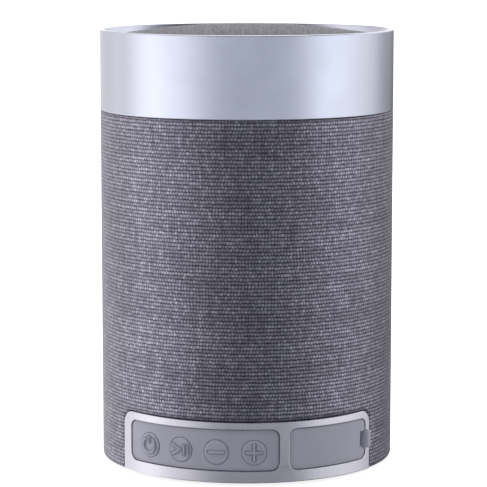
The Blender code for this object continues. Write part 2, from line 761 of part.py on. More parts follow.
def make_leads(coats):
    speaker = [(0, 25.6, 97), (3, 31.5, 92), (7, 34.2, 78), (8.5, 34, 55)]
    speaker += [(8, 33, 36), (8, 31.5, 28), (8, 28, 26.9)]
    battery = [(33.4, 0, 45.5), (35.2, 0, 43), (35, 0, 38), (34.5, 0, 32), (31, 0, 28), (27, 0, 26.9)]
    key_route = ((33.4, 9.6), (29, 10), (24, 13), (22.5, 18), (22.5, 23.4))
    keys = [on_body(KEY_LEAD_ARC, r, z) for r, z in key_route]
    ports = [port_place(4.0, up, out) for up, out in ((9.7, 19.9), (13, 17), (18, 15.6), (23.2, 15.4))]
    routes = (("speaker_lead", speaker), ("battery_lead", battery), ("key_lead", keys), ("port_lead", ports))
    for name, route in routes:
        lead_object(name, [Vector(spot) for spot in route], 0.75, coats["lead red"])


def main():
    clear_scene()
    coats = {
        "satin aluminium": finish("satin aluminium", (0.72, 0.73, 0.77), 0.32, 1.0),
        "sleeve fabric": finish("sleeve fabric", (0.09, 0.085, 0.115), 0.95),
        "top cloth": finish("top cloth", (0.3, 0.29, 0.32), 0.95),
        "grey rubber": finish("grey rubber", (0.24, 0.24, 0.28), 0.6),
        "black rubber": finish("black rubber", (0.02, 0.02, 0.022), 0.7),
        "black plastic": finish("black plastic", (0.03, 0.03, 0.033), 0.5),
        "bright steel": finish("bright steel", (0.6, 0.6, 0.61), 0.3, 1.0),
        "painted steel": finish("painted steel", (0.05, 0.05, 0.055), 0.4, 0.5),
        "ferrite": finish("ferrite", (0.06, 0.06, 0.065), 0.6),
        "copper": finish("copper", (0.7, 0.33, 0.18), 0.35, 1.0),
        "paper cone": finish("paper cone", (0.05, 0.05, 0.05), 0.85),
        "yellow cloth": finish("yellow cloth", (0.55, 0.4, 0.12), 0.9),
        "green board": finish("green board", (0.02, 0.16, 0.07), 0.4),
        "blue wrap": finish("blue wrap", (0.05, 0.12, 0.45), 0.35),
        "lead red": finish("lead red", (0.5, 0.03, 0.03), 0.45),
    }
    for make in (
        make_casing,
        make_top,
        make_panel,
        make_keys,
        make_port_cover,
        make_port_bay,
        make_base,
        make_radiator,
        make_inner_frame,
        make_battery,
        make_main_board,
        make_driver,
        make_leads,
    ):
        make(coats)


main()
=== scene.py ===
import json
import math

import bmesh
import bpy
import numpy as np
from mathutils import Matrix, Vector
from mathutils.geometry import delaunay_2d_cdt


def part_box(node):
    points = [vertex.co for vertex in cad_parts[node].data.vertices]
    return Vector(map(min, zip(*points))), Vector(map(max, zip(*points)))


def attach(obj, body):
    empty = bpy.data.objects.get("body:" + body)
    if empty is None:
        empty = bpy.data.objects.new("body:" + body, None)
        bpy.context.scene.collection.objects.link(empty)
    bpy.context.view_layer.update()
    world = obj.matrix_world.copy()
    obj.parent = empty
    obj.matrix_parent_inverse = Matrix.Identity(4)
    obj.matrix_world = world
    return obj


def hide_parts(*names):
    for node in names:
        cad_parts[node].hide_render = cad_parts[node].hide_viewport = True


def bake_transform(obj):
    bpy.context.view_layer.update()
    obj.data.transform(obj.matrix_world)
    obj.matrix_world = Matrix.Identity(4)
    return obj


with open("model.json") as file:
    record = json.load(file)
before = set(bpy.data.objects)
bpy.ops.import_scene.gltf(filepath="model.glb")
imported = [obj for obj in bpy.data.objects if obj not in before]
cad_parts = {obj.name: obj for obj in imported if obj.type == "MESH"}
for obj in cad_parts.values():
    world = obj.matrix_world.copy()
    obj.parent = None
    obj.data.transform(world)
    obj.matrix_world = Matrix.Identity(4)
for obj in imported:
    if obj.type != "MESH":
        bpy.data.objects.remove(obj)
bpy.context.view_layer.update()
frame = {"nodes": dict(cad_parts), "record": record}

# Lengths are in millimetres until a piece is made. Places on the skin are (arc, z): an arc length on the
# outer radius from the front, positive towards +X, and a height.
MM = 0.001
TAU = 2.0 * math.pi
WELD = 1e-4

# A narrow flat beside a rounded edge, which keeps the smooth shading of the large face flat
LAND = 0.05


def node_box(name):
    low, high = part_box(name)
    return [value / MM for value in low], [value / MM for value in high]


ring_low, ring_high = node_box("top_ring")
panel_low, panel_high = node_box("control_panel")
cloth_high = node_box("top_cloth")[1]

R = ring_high[0]
BODY_BOTTOM = panel_low[2]
BODY_TOP = ring_high[2]
BAND_BOTTOM = ring_low[2]
APEX = cloth_high[2]
CLOTH_R = cloth_high[0]
DOME_SPHERE_R = 224.0
RING_IN = CLOTH_R + 0.3
SKIN_IN = R - 0.8

# Control panel, as in the CAD
PANEL_HALF_ARC = 39.7
PANEL_TOP = panel_high[2]
PANEL_CORNER = 3.8
WINDOW_BOTTOM = BODY_BOTTOM + 3.3
WINDOW_TOP = BODY_BOTTOM + 14.6
WINDOW_CORNER = 2.3
KEY_ARC = (-36.4, 8.9)
PORT_ARC = (11.7, 37.9)

# Key mat, keys and port cover
MAT_FACE = R - 0.3
MAT_BACK = SKIN_IN - 1.2
BUTTON_FACE = R - 0.04
BUTTON_R = 3.3
BUTTON_Z = BODY_BOTTOM + 8.4
BUTTON_ARCS = {"power": -28.9, "play": -18.6, "minus": -8.35, "plus": 2.0}
COVER_FACE = R - 0.15
COVER_GAP = 0.1
TAB_Z = (BODY_BOTTOM + 6.2, BODY_BOTTOM + 11.2)
TAB_END = 39.2
HINGE_STRAP_R = 40.05

# Spacing of the weave: rows and beads of the sleeve, both ways of the top cloth
ROW = 0.98
BEAD = 0.88
FINE = 0.62

# CAD nodes in view that stay, with edges to break or sides to round
BEVELLED_NODES = (
    "base_cover", "port_tray", "usb_socket", "aux_jack", "card_slot", "radiator_frame", "key_holder",
)
ROUNDED_NODES = ("speaker_lead", "battery_lead", "key_lead", "port_lead")


# Shapes


def stacked(x, y, z):
    """Points from three coordinates, any of which may be a single number."""
    parts = np.broadcast_arrays(x, y, z)
    return np.stack([np.asarray(part, float) for part in parts], axis=-1)


def on_body(arc, radius, z):
    """Points on the body from arc lengths, radii and heights, any of which may be arrays."""
    angle = np.asarray(arc) / R
    return stacked(radius * np.sin(angle), -radius * np.cos(angle), z)


def smooth_step(value, low, high):
    """A smooth rise from 0 at low to 1 at high."""
    t = np.clip((np.asarray(value, float) - low) / (high - low), 0.0, 1.0)
    return t * t * (3.0 - 2.0 * t)


def dome_z(radius):
    """Height of the cloth's dome at a radius."""
    return APEX - (DOME_SPHERE_R - np.sqrt(DOME_SPHERE_R**2 - np.asarray(radius, float) ** 2))


def corner_arc(centre, radius, start, count=7):
    """Points on a quarter circle from the start angle, counterclockwise."""
    turns = start + np.linspace(0.0, math.pi / 2.0, count)
    return np.stack([centre[0] + radius * np.cos(turns), centre[1] + radius * np.sin(turns)], axis=1)


def outline(arcs, heights, corners, grow=0.0, spacing=1.1):
    """A rounded rectangle on the skin as (arc, z) points, counterclockwise from the bottom right corner.

    Corners are the radii at the bottom right, top right, top left and bottom left. A grown or shrunk outline
    has the same number of points as its parent, so the two can be bridged.
    """
    radii = [max(c + grow, 0.02) if c > 0.05 else 0.02 for c in corners]
    left, right = arcs[0] - grow, arcs[1] + grow
    low, high = heights[0] - grow, heights[1] + grow
    spots = [
        ((right - radii[0], low + radii[0]), radii[0], -math.pi / 2.0),
        ((right - radii[1], high - radii[1]), radii[1], 0.0),
        ((left + radii[2], high - radii[2]), radii[2], math.pi / 2.0),
        ((left + radii[3], low + radii[3]), radii[3], math.pi),
    ]
    bends = [corner_arc(*spot) for spot in spots]
    sides = [heights[1] - heights[0], arcs[1] - arcs[0]] * 2
    points = []
    for i, bend in enumerate(bends):
        points.append(bend)
        following = bends[(i + 1) % 4]
        count = max(2, round(sides[i] / spacing))
        shares = np.linspace(0.0, 1.0, count + 1)[1:-1, None]
        points.append(bend[-1] * (1.0 - shares) + following[0] * shares)
    return np.concatenate(points)


def circle(centre, radius, count):
    """Points on a circle, counterclockwise."""
    turns = np.arange(count) * TAU / count
    return np.stack([centre[0] + radius * np.cos(turns), centre[1] + radius * np.sin(turns)], axis=1)


def inside(points, loop):
    """Which points lie inside a closed loop."""
    x, y = points[:, 0, None], points[:, 1, None]
    x1, y1 = loop[:, 0], loop[:, 1]
    x2, y2 = np.roll(x1, -1), np.roll(y1, -1)
    crosses = (y1 > y) != (y2 > y)
    safe = np.where(y2 == y1, 1.0, y2 - y1)
    hits = crosses & (x < (x2 - x1) * (y - y1) / safe + x1)
    return hits.sum(axis=1) % 2 == 1


def within(points, outer, holes):
    """Which points lie inside an outer loop and outside every hole."""
    keep = inside(points, outer)
    for hole in holes:
        keep &= ~inside(points, hole)
    return keep


def grid_points(arcs, heights, spacing):
    """An even grid of (arc, z) points."""
    across = np.arange(arcs[0], arcs[1], spacing)
    up = np.arange(heights[0], heights[1], spacing)
    return np.stack(np.meshgrid(across, up), axis=-1).reshape(-1, 2)


def filled(outer, holes, loose=()):
    """Triangles that fill an outer loop round its holes, through loose points that lie well inside."""
    loops = [outer, *holes]
    points = np.concatenate(loops)
    if len(loose):
        margin = 0.12
        gaps = np.array([np.min(np.hypot(*(points - spot).T)) for spot in loose])
        loose = loose[within(loose, outer, holes) & (gaps >= margin)]
        points = np.concatenate([points, loose])
    edges = []
    start = 0
    for loop in loops:
        count = len(loop)
        edges += [(start + i, start + (i + 1) % count) for i in range(count)]
        start += count
    made = delaunay_2d_cdt([Vector(p) for p in points], edges, [], 1, 1e-5)
    spots = np.array([tuple(v) for v in made[0]])
    faces = np.array([tuple(face) for face in made[2]])
    middles = spots[faces].mean(axis=1)
    return spots, faces[within(middles, outer, holes)]


class Shape:
    """Points and faces gathered from several sheets, welded into one mesh when it is made."""

    def __init__(self):
        self.points = []
        self.faces = []

    def add(self, points, faces):
        start = len(self.points)
        self.points.extend(map(tuple, points))
        self.faces.extend([tuple(int(i) + start for i in face) for face in faces])

    def loft(self, rings):
        """Faces between successive closed rings of points."""
        count = len(rings[0])
        faces = []
        for row in range(len(rings) - 1):
            for i in range(count):
                a = row * count + i
                b = row * count + (i + 1) % count
                faces.append((a, b, b + count, a + count))
        self.add(np.concatenate(rings), faces)

    def cap(self, first, count, centre):
        """Closes a ring of points, from its first point on, to a centre."""
        last = len(self.points)
        self.points.append(tuple(centre))
        self.faces += [(first + i, first + (i + 1) % count, last) for i in range(count)]

    def mesh(self, name, sharp=30.0):
        """The welded mesh, smooth but for edges sharper than an angle in degrees."""
        shape = bmesh.new()
        spots = [shape.verts.new([value * MM for value in p]) for p in self.points]
        for face in self.faces:
            if len(set(face)) > 2:
                shape.faces.new([spots[i] for i in face])
        bmesh.ops.remove_doubles(shape, verts=shape.verts, dist=WELD * MM)
        bmesh.ops.recalc_face_normals(shape, faces=shape.faces)
        made = bpy.data.meshes.new(name)
        shape.to_mesh(made)
        shape.free()
        made.shade_smooth()
        made.set_sharp_from_angle(angle=math.radians(sharp))
        return made


def lathe(profile, steps):
    """A Shape from (radius, z) points turned about Z; a first or last radius of 0 closes to a point."""
    turns = np.arange(steps) * TAU / steps
    rings = [np.stack([r * np.cos(turns), r * np.sin(turns), np.full(steps, z)], axis=1) for r, z in profile]
    shape = Shape()
    shape.loft(rings)
    return shape


def curved_plate(outer, holes, outer_edge, hole_edge, back, face=None, loose=(), place=on_body):
    """A plate on the skin with worked edges.

    outer and holes are functions of a growth that give an outline. outer_edge and hole_edge list (growth,
    radius) from the face to the back. face gives the radius of any (arc, z) on the front, which passes
    through the loose points. place turns (arc, radius, z) into a point.
    """
    shape = Shape()
    spots, faces = filled(outer(outer_edge[0][0]), [hole(hole_edge[0][0]) for hole in holes], loose)
    front = face(spots[:, 0], spots[:, 1]) if face else outer_edge[0][1]
    shape.add(place(spots[:, 0], front, spots[:, 1]), faces)
    for ring, steps in ((outer, outer_edge), *((hole, hole_edge) for hole in holes)):
        rings = []
        for i, (growth, radius) in enumerate(steps):
            loop = ring(growth)
            level = face(loop[:, 0], loop[:, 1]) if face and i == 0 else radius
            rings.append(place(loop[:, 0], level, loop[:, 1]))
        last = ring(steps[-1][0])
        rings.append(place(last[:, 0], back, last[:, 1]))
        shape.loft(rings)
    spots, faces = filled(outer(outer_edge[-1][0]), [hole(hole_edge[-1][0]) for hole in holes])
    shape.add(place(spots[:, 0], back, spots[:, 1]), faces)
    return shape


def piece(name, mesh, coat, body, replaced=()):
    """An object that rides on a body, or on none when no body is given."""
    made = bpy.data.objects.new(name, mesh)
    bpy.context.scene.collection.objects.link(made)
    mesh.materials.append(coat)
    if body:
        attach(made, body)
    if replaced:
        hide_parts(*replaced)
    return made


# Materials


class Coat:
    """A material under construction: its node tree, its shader and short ways to add nodes."""

    def __init__(self, name, colour, roughness, metallic=0.0):
        self.made = bpy.data.materials.new(name)
        self.made.use_nodes = True
        self.tree = self.made.node_tree
        self.shader = self.tree.nodes["Principled BSDF"]
        self.shader.inputs["Base Color"].default_value = (*colour, 1.0)
        self.shader.inputs["Roughness"].default_value = roughness
        self.shader.inputs["Metallic"].default_value = metallic

    def put(self, socket, value):
        """Sets a socket, or links another node's output to it."""
        if isinstance(value, bpy.types.NodeSocket):
            self.tree.links.new(value, socket)
        elif value is not None:
            socket.default_value = value

    def math(self, operation, first, second=None):
        node = self.tree.nodes.new("ShaderNodeMath")
        node.operation = operation
        for socket, value in zip(node.inputs, (first, second)):
            self.put(socket, value)
        return node.outputs[0]

    def times(self, first, second):
        return self.math("MULTIPLY", first, second)

    def plus(self, first, second):
        return self.math("ADD", first, second)

    def uv(self, layer):
        node = self.tree.nodes.new("ShaderNodeUVMap")
        node.uv_map = layer
        return self.split(node.outputs[0])[:2]

    def place(self):
        """The point on the object, in millimetres."""
        node = self.tree.nodes.new("ShaderNodeTexCoord")
        scale = self.tree.nodes.new("ShaderNodeVectorMath")
        scale.operation = "SCALE"
        self.tree.links.new(node.outputs["Object"], scale.inputs[0])
        scale.inputs["Scale"].default_value = 1.0 / MM
        return scale.outputs[0]

    def split(self, vector):
        node = self.tree.nodes.new("ShaderNodeSeparateXYZ")
        self.tree.links.new(vector, node.inputs[0])
        return node.outputs[0], node.outputs[1], node.outputs[2]

    def vector(self, x, y, z=0.0):
        node = self.tree.nodes.new("ShaderNodeCombineXYZ")
        for socket, value in zip(node.inputs, (x, y, z)):
            self.put(socket, value)
        return node.outputs[0]

    def noise(self, vector, scale=1.0, detail=3.0, rough=0.55):
        node = self.tree.nodes.new("ShaderNodeTexNoise")
        self.tree.links.new(vector, node.inputs["Vector"])
        node.inputs["Scale"].default_value = scale
        node.inputs["Detail"].default_value = detail
        node.inputs["Roughness"].default_value = rough
        return node.outputs["Fac"]

    def random(self, vector):
        node = self.tree.nodes.new("ShaderNodeTexWhiteNoise")
        node.noise_dimensions = "3D"
        self.tree.links.new(vector, node.inputs["Vector"])
        return node.outputs["Value"]

    def remap(self, value, low, high, to_low, to_high):
        node = self.tree.nodes.new("ShaderNodeMapRange")
        for socket, number in zip(node.inputs, (value, low, high, to_low, to_high)):
            self.put(socket, number)
        return node.outputs[0]

    def mix(self, share, first, second):
        node = self.tree.nodes.new("ShaderNodeMix")
        node.data_type = "RGBA"
        self.put(node.inputs["Factor"], share)
        for socket, value in ((node.inputs["A"], first), (node.inputs["B"], second)):
            self.put(socket, (*value, 1.0) if isinstance(value, tuple) else value)
        return node.outputs["Result"]

    def paint(self, colour):
        self.put(self.shader.inputs["Base Color"], colour)

    def rough(self, value):
        self.put(self.shader.inputs["Roughness"], value)

    def bump(self, height, distance):
        node = self.tree.nodes.new("ShaderNodeBump")
        node.inputs["Strength"].default_value = 1.0
        node.inputs["Distance"].default_value = distance * MM
        self.tree.links.new(height, node.inputs["Height"])
        self.tree.links.new(node.outputs[0], self.shader.inputs["Normal"])

    def sheen(self, weight, roughness, tint):
        self.shader.inputs["Sheen Weight"].default_value = weight
        self.shader.inputs["Sheen Roughness"].default_value = roughness
        self.shader.inputs["Sheen Tint"].default_value = (*tint, 1.0)


def woven(name, dark, light, across, up, streak, lustre, relief_mm, fuzz):
    """Plain weave: rows of beads, each yarn and bead with its own tone; the gaps between beads and rows, and
    each bead's rounded sides, are painted dark as shade.

    across and up are the beads' width and the rows' height, streak is how much the upright yarns differ,
    lustre is the yarn's metallic value and fuzz its sheen.
    """
    coat = Coat(name, light, 0.5, lustre)
    u, v = coat.uv("weave")

    # Where on its bead a point lies; beads shift a little from row to row
    row = coat.math("DIVIDE", v, up)
    row_id = coat.math("FLOOR", row)
    row_random = coat.random(coat.vector(row_id, 7.0, 1.0))
    wander = coat.noise(coat.vector(coat.times(u, 0.09), coat.times(row_id, 1.37)), 1.0, 1.0)
    brick = coat.times(coat.math("MODULO", row_id, 2.0), coat.remap(wander, 0.4, 0.55, 0.0, 0.5))
    offset = coat.plus(coat.plus(coat.times(row_random, 0.2), coat.times(wander, 1.2)), brick)
    column = coat.plus(coat.math("DIVIDE", u, across), offset)
    column_id = coat.math("FLOOR", column)
    bead_u = coat.math("ABSOLUTE", coat.math("SINE", coat.times(column, math.pi)))
    lift = coat.remap(coat.random(coat.vector(column_id, row_id, 9.0)), 0.0, 1.0, -0.58, -0.42)
    off_row = coat.plus(coat.math("FRACT", row), lift)
    bead_v = coat.math("MAXIMUM", coat.math("COSINE", coat.times(off_row, math.pi)), 0.0)

    # What varies: single beads, stretches of a row, upright yarns, broad clouds and fibres
    bead_random = coat.random(coat.vector(column_id, row_id, 3.0))
    run = coat.noise(coat.vector(coat.times(u, 0.16), coat.times(row_id, 5.37)), 1.0, 3.0)
    yarn_id = coat.math("FLOOR", coat.math("DIVIDE", u, across))
    warp = coat.noise(coat.vector(coat.times(yarn_id, 4.71), coat.times(v, 0.11)), 1.0, 2.0)
    cloud = coat.noise(coat.vector(u, v), 0.06, 2.0)
    fibre = coat.noise(coat.vector(coat.times(u, 1.6), coat.times(v, 6.0)), 1.0, 4.0, 0.7)

    # The beads' relief, which also paints shade: the colour goes dark in the gaps between beads and rows and
    # on each bead's rounded sides
    relief = coat.remap(run, 0.35, 0.65, 0.6, 1.0)
    gap_dip_and_shade = coat.times(coat.math("SUBTRACT", 1.0, coat.math("POWER", bead_u, 0.7)), relief)
    bead_relief_and_shade = coat.times(coat.math("SUBTRACT", 1.0, gap_dip_and_shade), coat.math("POWER", bead_v, 0.9))
    spark = coat.times(coat.math("POWER", bead_random, 6.0), 0.35)
    shade = coat.plus(coat.remap(bead_random, 0.0, 1.0, 0.6, 0.85), spark)
    for value, low, high, darkest, brightest in (
        (run, 0.3, 0.7, 0.75, 1.2),
        (row_random, 0.0, 1.0, 0.86, 1.12),
        (warp, 0.3, 0.7, 1.0 - streak, 1.0 + streak),
        (cloud, 0.3, 0.7, 0.88, 1.12),
        (fibre, 0.25, 0.75, 0.72, 1.25),
    ):
        shade = coat.times(shade, coat.remap(value, low, high, darkest, brightest))
    # Painted shade: the colour runs from the light colour on the beads' tops to the dark colour in the gaps
    coat.paint(coat.mix(coat.times(bead_relief_and_shade, shade), dark, light))
    coat.rough(coat.remap(fibre, 0.2, 0.8, 0.36, 0.5))
    coat.bump(coat.plus(bead_relief_and_shade, coat.times(fibre, 0.3)), relief_mm)
    coat.shader.inputs["Specular IOR Level"].default_value = 0.3
    coat.sheen(fuzz, 0.35, (0.88, 0.88, 1.0))
    return coat.made


def satin_metal(name, colour, roughness):
    """Anodised metal with fine turning marks, slightly uneven in gloss."""
    coat = Coat(name, colour, roughness, 1.0)
    place = coat.place()
    height = coat.split(place)[2]
    marks = coat.noise(coat.vector(0.0, 0.0, coat.times(height, 22.0)), 1.0, 3.0)
    grain = coat.noise(place, 9.0, 3.0)
    smudge = coat.noise(place, 0.08, 2.0)
    level = coat.plus(coat.times(marks, 0.8), coat.times(grain, 0.2))
    gloss = coat.plus(coat.remap(level, 0.3, 0.7, -0.02, 0.03), coat.remap(smudge, 0.3, 0.7, -0.02, 0.02))
    coat.rough(coat.plus(gloss, roughness))
    darker = tuple(part * 0.96 for part in colour)
    coat.paint(coat.mix(coat.remap(level, 0.25, 0.75, 0.0, 1.0), darker, colour))
    coat.bump(level, 0.0015)
    return coat.made


def rubber(name, dark, light, roughness):
    """Matt silicone: a fine grain and a cloudy shade."""
    coat = Coat(name, light, roughness)
    grain = coat.noise(coat.place(), 6.0, 4.0, 0.7)
    cloud = coat.noise(coat.place(), 0.12, 2.0)
    coat.paint(coat.mix(coat.remap(cloud, 0.3, 0.7, 0.0, 1.0), dark, light))
    coat.rough(coat.remap(grain, 0.25, 0.75, roughness - 0.06, roughness + 0.08))
    coat.bump(grain, 0.012)
    coat.sheen(0.12, 0.5, (1.0, 1.0, 1.0))
    coat.shader.inputs["Specular IOR Level"].default_value = 0.4
    return coat.made


def moulded(name, colour, roughness):
    """Spark-eroded plastic: a fine pebbled texture and a faint flow pattern."""
    coat = Coat(name, colour, roughness)
    pebble = coat.noise(coat.place(), 4.0, 5.0, 0.65)
    flow = coat.noise(coat.place(), 0.09, 2.0)
    brighter = tuple(min(1.0, part * 1.35 + 0.004) for part in colour)
    coat.paint(coat.mix(coat.remap(flow, 0.3, 0.7, 0.0, 1.0), colour, brighter))
    coat.rough(coat.remap(pebble, 0.25, 0.75, roughness - 0.08, roughness + 0.1))
    coat.bump(pebble, 0.03)
    return coat.made


def plated(name, colour, roughness):
    """Plated metal, duller where it is worn."""
    coat = Coat(name, colour, roughness, 1.0)
    wear = coat.noise(coat.place(), 0.5, 5.0, 0.6)
    grain = coat.noise(coat.place(), 8.0, 2.0)
    darker = tuple(part * 0.8 for part in colour)
    coat.paint(coat.mix(coat.remap(wear, 0.35, 0.65, 0.0, 1.0), darker, colour))
    coat.rough(coat.remap(wear, 0.3, 0.7, roughness - 0.06, roughness + 0.12))
    coat.bump(grain, 0.006)
    return coat.made


def board(name):
    """Solder mask over copper: traces as faint raised lines under a green coat."""
    coat = Coat(name, (0.01, 0.12, 0.05), 0.3)
    place = coat.place()
    x, y = coat.split(place)[:2]
    lines = []
    for axis, other in ((x, y), (y, x)):
        lane = coat.math("FLOOR", coat.times(other, 0.35))
        jog = coat.times(coat.noise(coat.vector(lane, 0.0), 1.7, 1.0), 9.0)
        wave = coat.math("SINE", coat.times(coat.plus(axis, jog), 2.4))
        lines.append(coat.math("GREATER_THAN", wave, 0.75))
    trace = coat.math("MAXIMUM", *lines)
    coat.paint(coat.mix(trace, (0.008, 0.10, 0.042), (0.02, 0.22, 0.08)))
    coat.bump(trace, 0.03)
    coat.rough(coat.remap(coat.noise(place, 1.5, 3.0), 0.3, 0.7, 0.25, 0.4))
    return coat.made


# Camera, light and floor


# Where the camera stands in front of the axis and above the floor, and its angle down in degrees
CAMERA_AWAY = 636.3
CAMERA_Z = BODY_BOTTOM + 147.96
CAMERA_DOWN = 7.92


def make_camera():
    """A long lens in front of the panel, a little above the top and looking down."""
    data = bpy.data.cameras.new("camera")
    data.lens = 167.9
    data.sensor_width = 36.0
    data.shift_x = -0.0069
    data.clip_start = 0.01
    data.clip_end = 20.0
    camera = bpy.data.objects.new("camera", data)
    camera.location = (0.0, -CAMERA_AWAY * MM, CAMERA_Z * MM)
    camera.rotation_euler = (math.radians(90.0 - CAMERA_DOWN), 0.0, 0.0)
    bpy.context.scene.collection.objects.link(camera)
    bpy.context.scene.camera = camera


WARM = (1.03, 1.0, 0.985)
COOL = (0.95, 1.0, 1.06)
WHITE = (1.0, 1.0, 1.0)

# The studio as it is seen round the object, in degrees: azimuth of the middle (0 in front, 90 to the right),
# half width of the full part, fade beyond it, height of the middle, half height, fade above and below it;
# then its brightness and tint.
SOFT_BOXES = (
    ("left glow", -74.0, 14.0, 44.0, -4.0, 6.0, 32.0, 0.69, WARM),
    ("right glow", 84.0, 16.0, 38.0, -4.0, 6.0, 22.0, 0.72, WHITE),
    ("left box", -96.0, 14.0, 24.0, 0.0, 65.0, 20.0, 0.46, WARM),
    ("right box", 98.0, 10.0, 20.0, 0.0, 40.0, 20.0, 0.24, WHITE),
    ("right rear box", 135.0, 9.0, 20.0, -3.0, 4.0, 16.0, 0.26, WHITE),
    ("front fill", 0.0, 60.0, 50.0, -4.0, 2.0, 12.0, 0.90, COOL),
    ("left rear wall", -152.0, 24.0, 22.0, -14.0, 20.0, 18.0, 0.82, WARM),
    ("left low wall", -120.0, 30.0, 24.0, -34.0, 10.0, 16.0, 0.60, COOL),
    ("left upper wall", -115.0, 26.0, 24.0, 40.0, 18.0, 18.0, 0.60, WARM),
    ("upper rear wall", 150.0, 30.0, 34.0, 38.0, 22.0, 24.0, 1.15, WHITE),
    ("floor glow", 0.0, 180.0, 1.0, -75.0, 18.0, 18.0, 0.45, WHITE),
)
# Brightness of the bare room and of the ceiling, and the ceiling's half angle and its fade
ROOM = 0.03
CEILING = 1.4
CEILING_SPREAD = (20.0, 30.0)
FLOOR_BRIGHTNESS = 0.85
FLOOR_HALF = 15.0


def make_studio():
    """A dark room with soft boxes, made as a world so that every piece is lit as softly."""
    bpy.context.scene.view_settings.view_transform = "Standard"
    world = bpy.data.worlds.new("studio")
    bpy.context.scene.world = world
    world.use_nodes = True
    tree = world.node_tree
    shade = tree.nodes["Background"]

    def calculate(operation, *values):
        node = tree.nodes.new("ShaderNodeMath")
        node.operation = operation
        for socket, value in zip(node.inputs, values):
            if isinstance(value, bpy.types.NodeSocket):
                tree.links.new(value, socket)
            else:
                socket.default_value = value
        return node.outputs[0]

    def fade(distance, full, beyond):
        """1 as far as full, then a smooth fall to 0."""
        node = tree.nodes.new("ShaderNodeMapRange")
        node.interpolation_type = "SMOOTHSTEP"
        tree.links.new(distance, node.inputs["Value"])
        limits = {"From Min": full, "From Max": full + beyond, "To Min": 1.0, "To Max": 0.0}
        for socket, value in limits.items():
            node.inputs[socket].default_value = value
        return node.outputs[0]

    place = tree.nodes.new("ShaderNodeTexCoord")
    split = tree.nodes.new("ShaderNodeSeparateXYZ")
    tree.links.new(place.outputs["Generated"], split.inputs[0])
    x, y, z = split.outputs
    azimuth = calculate("DEGREES", calculate("ARCTAN2", x, calculate("MULTIPLY", y, -1.0)))
    height = calculate("DEGREES", calculate("ARCSINE", z))
    rise = calculate("DEGREES", calculate("ARCCOSINE", z))
    total = calculate("MULTIPLY_ADD", fade(rise, *CEILING_SPREAD), CEILING, ROOM)
    for _, middle, half_wide, soft_wide, level, half_tall, soft_tall, brightness, tint in SOFT_BOXES:
        turn = calculate("ABSOLUTE", calculate("WRAP", calculate("SUBTRACT", azimuth, middle), 180.0, -180.0))
        off = calculate("ABSOLUTE", calculate("SUBTRACT", height, level))
        patch = calculate("MULTIPLY", fade(turn, half_wide, soft_wide), fade(off, half_tall, soft_tall))
        add = tree.nodes.new("ShaderNodeVectorMath")
        add.operation = "MULTIPLY_ADD"
        tree.links.new(patch, add.inputs[0])
        add.inputs[1].default_value = [brightness * part for part in tint]
        tree.links.new(total, add.inputs[2])
        total = add.outputs[0]
    tree.links.new(total, shade.inputs["Color"])


def make_floor():
    """A pale floor that only the camera sees, so that the world alone lights the pieces."""
    corners = [(x * FLOOR_HALF, y * FLOOR_HALF, 0.0) for x, y in ((-1, -1), (1, -1), (1, 1), (-1, 1))]
    floor = bpy.data.meshes.new("floor")
    floor.from_pydata(corners, [], [(0, 1, 2, 3)])
    plane = bpy.data.objects.new("floor", floor)
    bpy.context.scene.collection.objects.link(plane)
    plane.visible_glossy = False
    plane.visible_diffuse = False
    plane.visible_shadow = False
    coat = Coat("studio floor", (0.9, 0.9, 0.9), 0.8)
    coat.shader.inputs["Emission Color"].default_value = (1.0, 1.0, 1.0, 1.0)
    coat.shader.inputs["Emission Strength"].default_value = FLOOR_BRIGHTNESS
    floor.materials.append(coat.made)


# Pieces


def panel_outline(growth):
    """The control panel's edge: square corners at the body's bottom edge, round ones above."""
    corners = (0.0, PANEL_CORNER, PANEL_CORNER, 0.0)
    return outline((-PANEL_HALF_ARC, PANEL_HALF_ARC), (BODY_BOTTOM, PANEL_TOP), corners, growth)


def rounded(arcs, heights, corner, spacing=1.1):
    """A rounded rectangle's outline, as a function of its growth."""
    return lambda growth: outline(arcs, heights, (corner,) * 4, growth, spacing)


def window(arcs):
    """The outline of one of the panel's two windows, as a function of its growth."""
    return rounded(arcs, (WINDOW_BOTTOM, WINDOW_TOP), WINDOW_CORNER)


def rounded_box_distance(arc, z, arcs, heights, corner):
    """How far (arc, z) lies outside a rounded rectangle; negative inside."""
    half = ((arcs[1] - arcs[0]) / 2.0 - corner, (heights[1] - heights[0]) / 2.0 - corner)
    dx = np.abs(arc - sum(arcs) / 2.0) - half[0]
    dz = np.abs(z - sum(heights) / 2.0) - half[1]
    outer = np.hypot(np.maximum(dx, 0.0), np.maximum(dz, 0.0))
    return outer + np.minimum(np.maximum(dx, dz), 0.0) - corner


